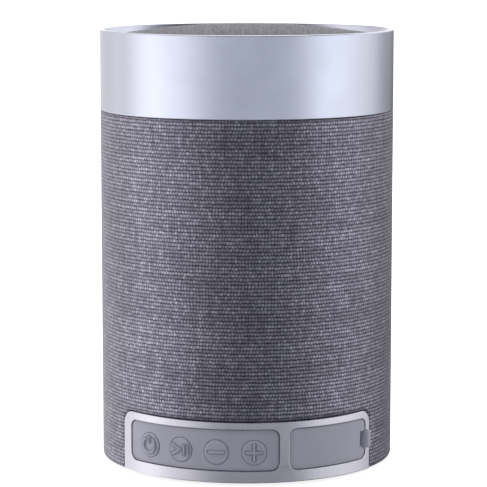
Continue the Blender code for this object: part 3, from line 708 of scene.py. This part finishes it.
def make_sleeve(coat):
    """Ribbed fabric tube: its top edge tucks under the ring, its cut-out dips behind the panel."""
    columns = 440
    levels_per_row = 3
    depth = 0.06
    hem = 0.75
    top = BAND_BOTTOM - 0.12

    # (height, inward shift) up the tube: tucked under, round the hem, up the ribs, under the ring
    profile = [(BODY_BOTTOM - 0.02, -2.6), (BODY_BOTTOM - 0.02, -0.8)]
    turns = np.linspace(0.25, 0.85, 3) * math.pi / 2.0
    profile += [(BODY_BOTTOM + hem * (1 - math.sin(t)), -hem * (1 - math.cos(t))) for t in turns]
    profile += [(z, 0.0) for z in np.arange(BODY_BOTTOM + hem, top, ROW / levels_per_row)]
    profile += [(top + 0.02, -0.35), (top + 0.02, -1.0)]
    z, shift = np.array(profile).T[:, :, None]

    arc = ((np.arange(columns) + 0.5) / columns - 0.5)[None, :] * TAU * R
    rib = 1.0 - np.abs(np.sin(math.pi * z / ROW)) ** 0.8
    radius = R + shift - depth * rib * (shift > -0.01)
    edge = rounded_box_distance(
        arc, z, (-PANEL_HALF_ARC, PANEL_HALF_ARC), (BODY_BOTTOM - 30.0, PANEL_TOP), PANEL_CORNER
    )
    tuck = 1.0 - smooth_step(edge, -0.1, 0.55)
    radius = np.minimum(radius, radius * (1.0 - tuck) + (SKIN_IN - 0.12) * tuck)
    shape = Shape()
    shape.loft(list(on_body(arc, radius, z)))

    # Cut the cloth away well behind the panel
    hidden = -1.3
    outside = edge.reshape(-1)
    keep = [face for face in shape.faces if max(outside[i] for i in face) > hidden]
    used = sorted({i for face in keep for i in face})
    number = {old: new for new, old in enumerate(used)}
    spots = np.array(shape.points)[used] * MM
    mesh = bpy.data.meshes.new("sleeve_cloth")
    mesh.from_pydata(spots.tolist(), [], [tuple(number[i] for i in face) for face in keep])
    mesh.shade_smooth()

    # The weave's map: along the cloth in both directions, with its rows on the ribs
    length = np.concatenate([[0.0], np.cumsum(np.hypot(np.diff(z[:, 0]), np.diff(shift[:, 0])))])
    length = length - length[-3] + z[-3, 0]
    around = TAU * R
    uvs = []
    for face in keep:
        places = [i % columns for i in face]
        wraps = max(places) - min(places) > columns // 2
        for i, column in zip(face, places):
            turn = around if wraps and column < columns // 2 else 0.0
            uvs.append((column * (around / columns) + turn, length[i // columns]))
    layer = mesh.uv_layers.new(name="weave")
    layer.uv.foreach_set("vector", np.array(uvs, np.float32).reshape(-1))

    made = piece("sleeve_cloth", mesh, coat, "casing", ("fabric_sleeve",))


def make_top_cloth(coat):
    """Fine cloth over the dome, tucked down inside the ring."""
    rings = 200
    columns = 480
    edge = CLOTH_R - 0.15
    tucked = 2.2
    shoulder = 0.9
    weave_depth = 0.05
    turns = np.arange(columns) * TAU / columns
    loops = []
    for r in edge * np.arange(1, rings + 1) / rings:
        x, y = r * np.cos(turns), r * np.sin(turns)
        weave = np.abs(np.sin(math.pi * x / (FINE * 2))) * np.abs(np.sin(math.pi * y / (FINE * 2)))
        drop = shoulder * smooth_step(r, edge - shoulder, edge)
        loops.append(stacked(x, y, dome_z(r) - drop - weave_depth * (1.0 - weave)))
    loops.append(loops[-1] - (0.0, 0.0, tucked))
    shape = Shape()
    shape.loft(loops)
    shape.cap(0, columns, (0.0, 0.0, float(dome_z(0.0)) - 0.02))
    mesh = shape.mesh("top_cloth_cover")
    layer = mesh.uv_layers.new(name="weave")
    across = np.array([mesh.vertices[loop.vertex_index].co[:2] for loop in mesh.loops], np.float32) / MM
    layer.uv.foreach_set("vector", across.reshape(-1))
    made = piece("top_cloth_cover", mesh, coat, "casing", ("top_cloth",))


def fillet(centre, radius, start, end, count=6):
    """(radius, z) points on an arc of a turned profile, angles in degrees."""
    turns = np.radians(np.linspace(start, end, count))
    return [(centre[0] + radius * math.cos(t), centre[1] + radius * math.sin(t)) for t in turns]


def make_ring(coat):
    """The top ring: rounded edges, a flat rim, and a wall that slopes in to the cloth."""
    outer, inner, foot = 0.3, 0.22, 0.25
    slope = 1.15
    profile = fillet((R - foot, BAND_BOTTOM + foot), foot, -90, 0)
    profile += [(R, BAND_BOTTOM + foot + LAND), (R, BODY_TOP - outer - LAND)]
    profile += fillet((R - outer, BODY_TOP - outer), outer, 0, 90, 8)
    profile += fillet((RING_IN + slope + inner, BODY_TOP - inner), inner, 90, 160)
    profile += [(RING_IN, BODY_TOP - 2.6), (RING_IN, BAND_BOTTOM + 0.1), (RING_IN + 0.1, BAND_BOTTOM)]
    mesh = lathe(profile + profile[:1], 288).mesh("ring_shell")
    piece("ring_shell", mesh, coat, "casing", ("top_ring",))


def make_panel(coat):
    """The curved frame round the key mat and the port cover."""
    edge = 0.2
    bevel = 0.17
    outer_edge = [(-edge - LAND, R), (-edge, R), (-edge * 0.3, R - edge * 0.3), (0.0, R - edge)]
    window_edge = [(bevel + LAND, R), (bevel, R), (bevel * 0.35, R - bevel * 0.25), (0.0, R - bevel * 1.1)]
    shape = curved_plate(panel_outline, [window(KEY_ARC), window(PORT_ARC)], outer_edge, window_edge, SKIN_IN)
    piece("panel_frame", shape.mesh("panel_frame"), coat, "casing", ("control_panel",))


def make_mat(coat):
    """The rubber mat: a slightly lower border round it, and rounded holes for the keys."""
    gap = 0.1
    outer_edge = [
        (-gap - 0.85, MAT_FACE),
        (-gap - 0.75, MAT_FACE),
        (-gap - 0.6, MAT_FACE - 0.06),
        (-gap - 0.2, MAT_FACE - 0.08),
        (-gap - 0.06, MAT_FACE - 0.13),
        (-gap, MAT_FACE - 0.3),
    ]
    hole_edge = [
        (0.42, MAT_FACE),
        (0.34, MAT_FACE),
        (0.2, MAT_FACE - 0.06),
        (0.1, MAT_FACE - 0.2),
        (0.06, MAT_FACE - 0.26),
    ]
    holes = [
        lambda growth, arc=arc: circle((arc, BUTTON_Z), BUTTON_R + growth, 72) for arc in BUTTON_ARCS.values()
    ]
    shape = curved_plate(window(KEY_ARC), holes, outer_edge, hole_edge, MAT_BACK)
    piece("key_mat", shape.mesh("key_mat"), coat, "casing", ("keypad_mat",))


# Symbols: each function gives the distance outside its symbol at (u, v), millimetres from the key's middle


def bar(u, v, centre, size):
    """Distance outside an upright bar with slightly rounded corners."""
    soft = 0.1
    dx = np.abs(u - centre[0]) - size[0] / 2.0 + soft
    dy = np.abs(v - centre[1]) - size[1] / 2.0 + soft
    return np.hypot(np.maximum(dx, 0.0), np.maximum(dy, 0.0)) + np.minimum(np.maximum(dx, dy), 0.0) - soft


def stroke(u, v, start, end, width):
    """Distance outside a round-ended stroke."""
    along = np.array(end) - np.array(start)
    share = np.clip(((u - start[0]) * along[0] + (v - start[1]) * along[1]) / along.dot(along), 0.0, 1.0)
    return np.hypot(u - start[0] - share * along[0], v - start[1] - share * along[1]) - width / 2.0


def power_symbol(u, v):
    radius, width, gap = 2.02, 0.44, 0.5
    ring = np.abs(np.hypot(u, v) - radius) - width / 2.0
    open_top = gap - np.abs(np.arctan2(u, v))
    ring = np.maximum(ring, open_top * radius)
    return np.minimum(ring, bar(u, v, (0.0, 1.6), (0.42, 1.8)))


def play_symbol(u, v):
    tip = (-0.1, 0.0)
    arms = [stroke(u, v, (-2.5, side * 1.4), tip, 0.4) for side in (-1.0, 1.0)]
    bars = [bar(u, v, (x, 0.0), (0.38, 2.8)) for x in (1.1, 2.2)]
    return np.minimum.reduce(arms + bars)


def minus_symbol(u, v):
    return bar(u, v, (0.0, 0.0), (4.4, 0.38))


def plus_symbol(u, v):
    return np.minimum(bar(u, v, (0.0, 0.0), (4.6, 0.36)), bar(u, v, (0.0, 0.0), (0.36, 4.6)))


SYMBOLS = {"power": power_symbol, "play": play_symbol, "minus": minus_symbol, "plus": plus_symbol}


def embossed(radii, height, tail, place, columns=192):
    """A round knob: rings with levels from height(u, v), then plain (radius, level) rings to its back."""
    turns = np.arange(columns) * TAU / columns
    across, up = np.cos(turns), np.sin(turns)
    loops = [place(r * across, r * up, height(r * across, r * up)) for r in radii]
    loops += [place(r * across, r * up, level) for r, level in tail]
    shape = Shape()
    shape.loft(loops)
    middle = np.zeros(1)
    for ring, level in ((0, height(middle, middle)), (len(loops) - 1, tail[-1][1])):
        shape.cap(ring * columns, columns, place(middle, middle, level)[0])
    return shape


def rounded_drop(radius, full, edge):
    """How far a face with a rounded edge has fallen at a radius."""
    over = np.clip(radius - (full - edge), 0.0, edge)
    return edge - np.sqrt(edge**2 - over**2)


def rounded_radii(full, edge, count):
    """Radii of a knob's rings: even ones over its flat face, then closer ones over its rounded edge."""
    close = [full - edge * (1.0 - math.sin(turn)) for turn in (0.4, 0.8, 1.2)]
    return [*np.linspace(0.05, full - edge, count), *close, full]


def make_button(name, coat):
    """A round key that follows the skin, with its symbol raised on its face and a groove round the symbol."""
    raised = 0.44
    groove = 0.36
    edge = 0.4

    def height(u, v):
        away = SYMBOLS[name](u, v)
        rise = raised * (1.0 - smooth_step(away, -0.08, 0.12))
        dip = groove * np.exp(-(((away - 0.25) / 0.15) ** 2))
        return BUTTON_FACE - rounded_drop(np.hypot(u, v), BUTTON_R, edge) + (rise - dip)

    def place(u, v, level):
        return on_body(BUTTON_ARCS[name] + u, level, BUTTON_Z + v)

    shape = embossed(rounded_radii(BUTTON_R, edge, 72), height, [(BUTTON_R, MAT_BACK)], place)
    mesh = shape.mesh(f"{name}_key_cap", sharp=60.0)
    piece(f"{name}_key_cap", mesh, coat, f"{name}_key", (f"{name}_button",))


def cover_outline(growth):
    """The cover's edge, a gap inside its window."""
    return window(PORT_ARC)(growth - COVER_GAP)


def cover_face(arc, z):
    """Radius of the cover's face: a bevelled border, and a scoop beside the tab."""
    edge = -rounded_box_distance(arc, z, PORT_ARC, (WINDOW_BOTTOM, WINDOW_TOP), WINDOW_CORNER) - COVER_GAP
    border = 0.1 * (1.0 - smooth_step(edge, 0.75, 0.95)) + 0.1 * (1.0 - smooth_step(edge, 0.0, 0.25))
    half_tab = (TAB_Z[1] - TAB_Z[0]) / 2.0
    across = smooth_step(arc, PORT_ARC[1] - 2.6, PORT_ARC[1] - 2.15)
    up = 1.0 - smooth_step(np.abs(z - sum(TAB_Z) / 2.0), half_tab - 0.7, half_tab)
    return COVER_FACE - border - 0.95 * across * up


def make_cover_skin(coat):
    """The cover's face: loose points carry its border, and a fine grid its scoop."""
    fine_from = PORT_ARC[1] - 3.4
    loose = grid_points((PORT_ARC[0] + 0.9, fine_from), (WINDOW_BOTTOM + 1.0, WINDOW_TOP - 1.0), 0.9)
    fine = grid_points((fine_from, PORT_ARC[1]), (WINDOW_BOTTOM, WINDOW_TOP), 0.22)
    border = np.concatenate([cover_outline(-inset) for inset in (0.12, 0.25, 0.5, 0.75, 0.85, 0.95, 1.2)])
    points = np.concatenate([loose, fine, border])
    edge = [(-0.02, COVER_FACE - 0.2), (0.0, COVER_FACE - 0.5)]
    skin = curved_plate(cover_outline, [], edge, [], SKIN_IN - 0.5, cover_face, points)
    piece("cover_skin", skin.mesh("cover_skin"), coat, "port_door", ("port_cover",))


def make_cover_tab(coat):
    """The pull tab that overhangs the frame, and the neck that joins it to the cover."""
    arcs = (PORT_ARC[1] - 0.55, TAB_END)
    top, low = R + 0.95, R + 0.08
    edge = [(-0.45, top), (-0.28, top - 0.04), (-0.1, top - 0.16), (0.0, top - 0.4)]
    edge += [(0.0, low + 0.15), (-0.12, low)]
    tab = curved_plate(rounded(arcs, TAB_Z, 0.75, 0.4), [], edge, [], low)
    neck_arcs = (PORT_ARC[1] - 0.75, PORT_ARC[1] - 0.2)
    neck_heights = (TAB_Z[0] + 0.15, TAB_Z[1] - 0.15)
    neck = curved_plate(rounded(neck_arcs, neck_heights, 0.1, 0.4), [], [(0.0, R + 0.5)], [], R - 1.0)
    for name, shape in (("cover_tab", tab), ("cover_tab_neck", neck)):
        piece(name, shape.mesh(name), coat, "port_door")


def make_cover_plug(coat):
    """The block behind the cover that fills the mouth of the port bay."""
    arcs = (PORT_ARC[0] + 1.6, PORT_ARC[1] - 1.7)
    heights = (WINDOW_BOTTOM + 1.5, WINDOW_TOP - 1.5)
    inner_end = R - 2.4
    edge = [(-0.8, inner_end + 0.05), (-0.75, inner_end), (-0.3, inner_end + 0.05), (0.0, inner_end + 0.3)]
    plug = curved_plate(rounded(arcs, heights, 1.4), [], edge, [], SKIN_IN - 0.4)
    piece("cover_plug", plug.mesh("cover_plug"), coat, "port_door")


def make_cover_strap(coat):
    """The living hinge: a thin strap between the frame and the cover, attached to no body."""
    arcs = (PORT_ARC[0] - 0.9, PORT_ARC[0] + 0.9)
    heights = (WINDOW_BOTTOM + 1.7, WINDOW_TOP - 1.7)
    edge = [(-0.1, HINGE_STRAP_R), (0.0, HINGE_STRAP_R - 0.1)]
    strap = curved_plate(rounded(arcs, heights, 0.3, 0.25), [], edge, [], HINGE_STRAP_R - 0.3)
    made = piece("cover_strap", strap.mesh("cover_strap"), coat, None)
    still, turned = (on_body(PORT_ARC[0] + shift, HINGE_STRAP_R, TAB_Z[0]) * MM for shift in (-0.25, 0.55))
    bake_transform(made)
    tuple(still)
    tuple(turned)


def make_feet(coat):
    """Four curved pads in the groove of the base, with rounded edges."""
    inner, outer, high, soft = 24.0, 31.0, 1.2, 0.35
    middle = (inner + outer) / 2.0
    half_turn = math.radians(36.0)
    half = half_turn * middle
    edge = [(-soft, 0.0), (-soft * 0.6, 0.03), (-soft * 0.25, 0.12), (0.0, soft), (0.0, high - 0.05)]
    for i in range(4):

        def place(along, level, radius, turn=TAU * (i + 0.5) / 4.0):
            angle = turn + np.asarray(along) / middle
            return stacked(radius * np.cos(angle), radius * np.sin(angle), level)

        pad = curved_plate(rounded((-half, half), (inner, outer), 1.6), [], edge, [], high, place=place)
        name = f"foot_pad_{i + 1}"
        piece(name, pad.mesh(name), coat, "casing", (f"foot_{i + 1}",))


def make_screws(coat):
    """Pan-head screws with a cross recess, sunk in the base, with ridges for their threads."""
    head_r, head_thick, edge = 2.0, 0.8, 0.35
    shank_r, root_r, pitch = 0.95, 0.7, 0.8
    for i in range(4):
        low, high = node_box(f"base_screw_{i + 1}")
        spot = [(a + b) / 2.0 for a, b in zip(low, high)]

        def height(u, v, face=low[2]):
            cross = np.minimum(bar(u, v, (0.0, 0.0), (2.5, 0.55)), bar(u, v, (0.0, 0.0), (0.55, 2.5)))
            recess = 0.45 * (1.0 - smooth_step(cross, -0.15, 0.03))
            return face + rounded_drop(np.hypot(u, v), head_r, edge) + recess

        def place(u, v, level, spot=spot):
            return stacked(spot[0] + u, spot[1] + v, level)

        tail = [(head_r, low[2] + head_thick), (1.0, low[2] + head_thick)]
        tail += [(r, low[2] + z) for z in np.arange(1.2, 10.0, pitch) for r in (shank_r, root_r)]
        tail += [(0.2, high[2] - 0.1)]
        shape = embossed(rounded_radii(head_r, edge, 24), height, tail, place, 64)
        name = f"base_screw_head_{i + 1}"
        piece(name, shape.mesh(name, sharp=50.0), coat, "casing", (f"base_screw_{i + 1}",))


def roll(inner, outer, low, high, thick, rise, count=20):
    """Profile of a flexible ring: a flat lip inside, an arched roll, and a higher flat lip outside."""
    shares = np.linspace(0.0, 1.0, count + 1)
    radii = inner[1] + (outer[0] - inner[1]) * shares
    heights = low + (high - low) * shares + rise * np.sin(math.pi * shares)
    middle = [(inner[0], low), *zip(radii, heights), (outer[1], high)]
    profile = [(r, z + thick) for r, z in middle] + [(r, z) for r, z in reversed(middle)]
    return profile + profile[:1]


def make_soft_ring(name, node, coat, profile):
    """A turned soft piece that lies between a moving body and the casing, attached to neither."""
    made = piece(name, lathe(profile, 144).mesh(name), coat, None, (node,))
    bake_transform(made)


def make_soft_rings(rubber_coat, cloth_coat):
    """The rolls round the driver's cone and the radiator, and the driver's corrugated spider."""
    low, high = (corner[2] for corner in node_box("driver_surround"))
    profile = roll((20.9, 22.6), (26.2, 29.5), low, high - 0.7, 0.7, 0.9)
    make_soft_ring(
        "driver_roll", "driver_surround", rubber_coat,
        profile,
    )
    low, high = (corner[2] for corner in node_box("radiator_surround"))
    profile = roll((9.6, 11.6), (14.4, 17.4), low, high - 0.8, 0.8, 0.9)
    make_soft_ring(
        "radiator_roll", "radiator_surround", rubber_coat,
        profile,
    )
    low, high = (corner[2] for corner in node_box("driver_spider"))
    inner, outer, fall = 8.5, 18.2, 3.8
    thick, fold, folds = 0.4, 0.2, 3
    shares = np.linspace(0.0, 1.0, 61)
    heights = high - 0.5 - fall * shares + fold * (1.0 - np.cos(TAU * folds * shares))
    face = list(zip(inner + (outer - inner) * shares, heights))
    profile = face + [(r, z - thick) for r, z in reversed(face)] + face[:1]
    make_soft_ring(
        "driver_spider_cloth", "driver_spider", cloth_coat,
        profile,
    )


def make_radiator_plate(coat):
    """A pressed steel disc with a sunk ring and a rolled edge."""
    low, high = node_box("radiator_plate")
    face, back, outer = low[2], high[2], high[0]
    soft = 0.35
    sunk = face + 0.35
    step = face + 0.1
    profile = [(0.0, back), (outer - 0.2, back), (outer, back - 0.2), (outer, face + soft)]
    profile += fillet((outer - soft, face + soft), soft, 0, -90, 5)
    profile += [(7.6, face), (7.3, step), (7.0, sunk), (5.0, sunk), (4.7, step), (4.4, face), (0.0, face)]
    mesh = lathe(profile, 120).mesh("radiator_disc")
    piece("radiator_disc", mesh, coat, "radiator", ("radiator_plate",))


def soften_nodes():
    """Broken edges on the hard nodes in view, and round sides on the leads."""
    for name in BEVELLED_NODES:
        bevel = frame["nodes"][name].modifiers.new("broken edge", "BEVEL")
        bevel.width = 0.12 * MM
        bevel.segments = 2
        bevel.angle_limit = math.radians(40.0)
    for name in ROUNDED_NODES:
        divide = frame["nodes"][name].modifiers.new("round side", "SUBSURF")
        divide.levels = 1
        divide.render_levels = 1


def coat_nodes(coats):
    """Materials for the CAD nodes that stay, by the record's slots."""
    for entry in frame["record"]["subparts"]:
        node = frame["nodes"].get(entry["node"])
        if node is None:
            continue
        mesh = node.data
        mesh.materials.clear()
        mesh.materials.append(coats[entry["material_slot"]])
        mesh.shade_smooth()
        mesh.set_sharp_from_angle(angle=math.radians(32.0))


def make_coats():
    """A material for each of the record's slots."""
    # Each weave's first colour is painted shade, filling the gaps between beads and rows
    sleeve = woven(
        "ribbed fabric", (0.06, 0.057, 0.08), (0.515, 0.50, 0.60), BEAD, ROW, streak=0.24, lustre=0.93,
        relief_mm=0.04, fuzz=0.3,
    )
    cloth = woven(
        "fine cloth", (0.03, 0.028, 0.04), (0.24, 0.232, 0.297), FINE, FINE, streak=0.8, lustre=0.1,
        relief_mm=0.12, fuzz=0.1,
    )
    return {
        "satin_aluminium": satin_metal("satin aluminium", (0.60, 0.62, 0.725), 0.27),
        "sleeve_fabric": sleeve,
        "top_cloth": cloth,
        "grey_rubber": rubber("grey rubber", (0.52, 0.52, 0.62), (0.56, 0.56, 0.665), 0.55),
        "black_rubber": rubber("black rubber", (0.012, 0.012, 0.013), (0.02, 0.02, 0.022), 0.6),
        "black_plastic": moulded("black plastic", (0.018, 0.018, 0.02), 0.45),
        "bright_steel": plated("bright steel", (0.66, 0.66, 0.67), 0.25),
        "painted_steel": moulded("painted steel", (0.03, 0.03, 0.032), 0.35),
        "ferrite": moulded("ferrite", (0.05, 0.05, 0.055), 0.6),
        "copper": plated("copper winding", (0.75, 0.35, 0.2), 0.3),
        "paper_cone": moulded("paper cone", (0.03, 0.03, 0.032), 0.8),
        "yellow_cloth": moulded("stiffened cloth", (0.5, 0.36, 0.1), 0.85),
        "green_board": board("green board"),
        "cell_wrap": moulded("cell wrap", (0.03, 0.09, 0.4), 0.3),
        "red_lead": moulded("lead insulation", (0.45, 0.02, 0.02), 0.4),
    }


def main():
    make_camera()
    make_studio()
    make_floor()
    coats = make_coats()
    coat_nodes(coats)
    make_sleeve(coats["sleeve_fabric"])
    make_top_cloth(coats["top_cloth"])
    make_ring(coats["satin_aluminium"])
    make_panel(satin_metal("satin panel", (0.63, 0.62, 0.69), 0.27))
    make_mat(coats["grey_rubber"])
    for name in BUTTON_ARCS:
        make_button(name, coats["grey_rubber"])
    cover_rubber = rubber("cover rubber", (0.57, 0.57, 0.67), (0.61, 0.61, 0.72), 0.52)
    make_cover_skin(cover_rubber)
    make_cover_tab(rubber("polished rubber", (0.54, 0.54, 0.63), (0.60, 0.60, 0.70), 0.4))
    make_cover_plug(cover_rubber)
    make_cover_strap(cover_rubber)
    make_feet(coats["black_rubber"])
    make_screws(coats["bright_steel"])
    make_soft_rings(coats["black_rubber"], coats["yellow_cloth"])
    make_radiator_plate(coats["bright_steel"])
    soften_nodes()


main()
